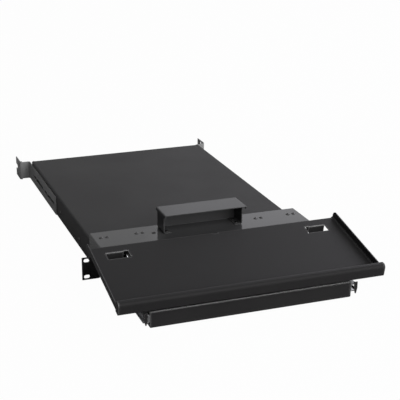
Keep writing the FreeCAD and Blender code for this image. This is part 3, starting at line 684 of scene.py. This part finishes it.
class SHELF_OT_screws(bpy.types.Operator):
    """Stand a detailed screw on every screw's place"""

    bl_idname = "shelf.screws"
    bl_label = "Screws"

    def execute(self, context):
        hardware = context.scene.shelf_hardware
        dark = plated_steel("dark screw", hardware.screw, SCREW_ROUGHNESS)
        tree = screw_tree(dark)
        inputs = [item for item in tree.interface.items_tree if item.in_out == "INPUT"]
        names = {item.name: item.identifier for item in inputs}
        for node in SCREW_SETS:
            seats = screw_seats(node)
            mesh = bpy.data.meshes.new(node)
            mesh.from_pydata([seat[0] for seat in seats], [], [])
            facing = mesh.attributes.new("facing", "FLOAT_VECTOR", "POINT")
            for entry, seat in zip(facing.data, seats):
                entry.vector = seat[1]
            piece = bpy.data.objects.new(node + "_detailed", mesh)
            context.collection.objects.link(piece)
            _, _, length, radius = seats[0]
            modifier = piece.modifiers.new("Screws", "NODES")
            modifier.node_group = tree
            modifier[names["Head radius"]] = radius
            modifier[names["Head height"]] = hardware.head_height
            modifier[names["Recess width"]] = hardware.recess_width
            modifier[names["Recess depth"]] = hardware.recess_depth
            modifier[names["Shank radius"]] = hardware.shank_radius
            modifier[names["Shank length"]] = length - hardware.head_height
            finished_mesh(piece)
            if len(piece.data.polygons) < LEAST_FACES:
                raise RuntimeError("no screws were made for " + node)
            stand_for(piece, node)
        return {"FINISHED"}


class SHELF_OT_rests(bpy.types.Operator):
    """Make the rubber rests under the tray"""

    bl_idname = "shelf.rests"
    bl_label = "Tray rests"

    def execute(self, context):
        hardware = context.scene.shelf_hardware
        rubber = moulded_rubber("black rubber", hardware.rubber)
        piece = eased_copy("tray_bumpers", hardware.rest_ease)
        dress(piece, rubber)
        stand_for(piece, "tray_bumpers")
        return {"FINISHED"}


def seen_rays(nodes, links, direct, mirrored):
    """How white a ray sees the background: one share from the camera, one in reflections and glass."""
    rays = nodes.new("ShaderNodeLightPath").outputs
    total = None
    shares = {"Is Camera Ray": direct, "Is Glossy Ray": mirrored, "Is Transmission Ray": mirrored}
    for name, share in shares.items():
        part = nodes.new("ShaderNodeMath")
        part.operation = "MULTIPLY"
        part.inputs[1].default_value = share
        links.new(rays[name], part.inputs[0])
        if total is None:
            total = part.outputs["Value"]
            continue
        most = nodes.new("ShaderNodeMath")
        most.operation = "MAXIMUM"
        links.new(total, most.inputs[0])
        links.new(part.outputs["Value"], most.inputs[1])
        total = most.outputs["Value"]
    return total


def soft_light(context, name, panel, power, colour):
    """A soft light panel that faces the object."""
    place, size = panel
    lamp = bpy.data.lights.new(name, "AREA")
    lamp.shape = "RECTANGLE"
    lamp.size = size[0]
    lamp.size_y = size[1]
    lamp.energy = power
    lamp.color = colour
    lamp_object = bpy.data.objects.new(name, lamp)
    lamp_object.location = place
    lamp_object.rotation_euler = (Vector(LIGHT_AIM) - Vector(place)).to_track_quat("-Z", "Y").to_euler()
    context.collection.objects.link(lamp_object)


class SHELF_OT_studio(bpy.types.Operator):
    """Set up the floor, the light and the camera"""

    bl_idname = "shelf.studio"
    bl_label = "Studio"

    def floor(self, context):
        """A pale floor that the camera sees as white, apart from the object's shadow."""
        size = FLOOR_REACH
        low = cad_box[0][2] - FLOOR_GAP
        mesh = bpy.data.meshes.new("floor")
        corners = [(-size, -size, low), (size, -size, low), (size, size, low), (-size, size, low)]
        mesh.from_pydata(corners, [], [(0, 1, 2, 3)])
        floor = bpy.data.objects.new("floor", mesh)
        context.collection.objects.link(floor)
        material, nodes, links, shader = new_material("pale floor")
        shader.inputs["Base Color"].default_value = FLOOR_COLOUR
        shader.inputs["Roughness"].default_value = FLOOR_ROUGHNESS
        white = nodes.new("ShaderNodeEmission")
        mix = nodes.new("ShaderNodeMixShader")
        links.new(seen_rays(nodes, links, FLOOR_SEEN, FLOOR_MIRRORED), mix.inputs["Fac"])
        links.new(shader.outputs["BSDF"], mix.inputs[1])
        links.new(white.outputs["Emission"], mix.inputs[2])
        links.new(mix.outputs["Shader"], nodes["Material Output"].inputs["Surface"])
        dress(floor, material)

    def sky(self, context, strength):
        """Even light all round, and white where the camera sees past the floor."""
        world = bpy.data.worlds.new("studio")
        context.scene.world = world
        world.use_nodes = True
        nodes, links = world.node_tree.nodes, world.node_tree.links
        background = nodes["Background"]
        background.inputs["Color"].default_value = (1, 1, 1, 1)
        level = nodes.new("ShaderNodeMapRange")
        level.inputs["To Min"].default_value = strength
        level.inputs["To Max"].default_value = 1
        links.new(seen_rays(nodes, links, 1, 1), level.inputs["Value"])
        links.new(level.outputs["Result"], background.inputs["Strength"])

    def camera(self, context, studio):
        """The camera, set up on its target from the front left."""
        lens = bpy.data.cameras.new("camera")
        lens.sensor_width = SENSOR_WIDTH
        lens.lens = studio.lens
        lens.shift_x = studio.shift_x
        lens.shift_y = studio.shift_y
        camera = bpy.data.objects.new("camera", lens)
        level = math.cos(studio.elevation)
        sideways = math.sin(studio.azimuth) * level
        forward = math.cos(studio.azimuth) * level
        away = Vector((sideways, -forward, math.sin(studio.elevation)))
        camera.location = Vector(studio.target) + away * studio.distance
        camera.rotation_euler = (-away).to_track_quat("-Z", "Y").to_euler()
        context.collection.objects.link(camera)
        context.scene.camera = camera

    def execute(self, context):
        studio = context.scene.shelf_studio
        context.scene.view_settings.view_transform = "Standard"
        self.floor(context)
        self.sky(context, studio.sky)
        soft_light(context, "soft light above", KEY_PANEL, studio.key_power, WHITE)
        soft_light(context, "soft light behind", BACK_PANEL, studio.back_power, studio.cool_light)
        soft_light(context, "soft light in front", FILL_PANEL, studio.fill_power, WHITE)
        soft_light(context, "soft light at the right", RIGHT_PANEL, studio.right_power, studio.cool_light)
        self.camera(context, studio)
        return {"FINISHED"}


class SHELF_PT_panel(bpy.types.Panel):
    """Sidebar panel that lists the shelf's operators"""

    bl_label = "Shelf"
    bl_idname = "SHELF_PT_panel"
    bl_space_type = "VIEW_3D"
    bl_region_type = "UI"
    bl_category = "Shelf"

    def draw(self, context):
        for operator in OPERATORS:
            self.layout.operator(operator.bl_idname)


SETTINGS = {
    "shelf_coat": CoatSettings,
    "shelf_hardware": HardwareSettings,
    "shelf_studio": StudioSettings,
}
OPERATORS = (
    SHELF_OT_black_sheets,
    SHELF_OT_grey_sheets,
    SHELF_OT_slides,
    SHELF_OT_screws,
    SHELF_OT_rests,
    SHELF_OT_studio,
)


def register():
    """Register the settings, operators and panel."""
    for name, settings in SETTINGS.items():
        bpy.utils.register_class(settings)
        setattr(bpy.types.Scene, name, PointerProperty(type=settings))
    for operator in OPERATORS:
        bpy.utils.register_class(operator)
    bpy.utils.register_class(SHELF_PT_panel)


def unregister():
    """Take them out again."""
    bpy.utils.unregister_class(SHELF_PT_panel)
    for operator in reversed(OPERATORS):
        bpy.utils.unregister_class(operator)
    for name, settings in reversed(SETTINGS.items()):
        delattr(bpy.types.Scene, name)
        bpy.utils.unregister_class(settings)


def main():
    """Make every piece and the studio."""
    register()
    bpy.ops.shelf.black_sheets()
    bpy.ops.shelf.grey_sheets()
    bpy.ops.shelf.slides()
    bpy.ops.shelf.screws()
    bpy.ops.shelf.rests()
    bpy.ops.shelf.studio()


if __name__ == "__main__":
    main()
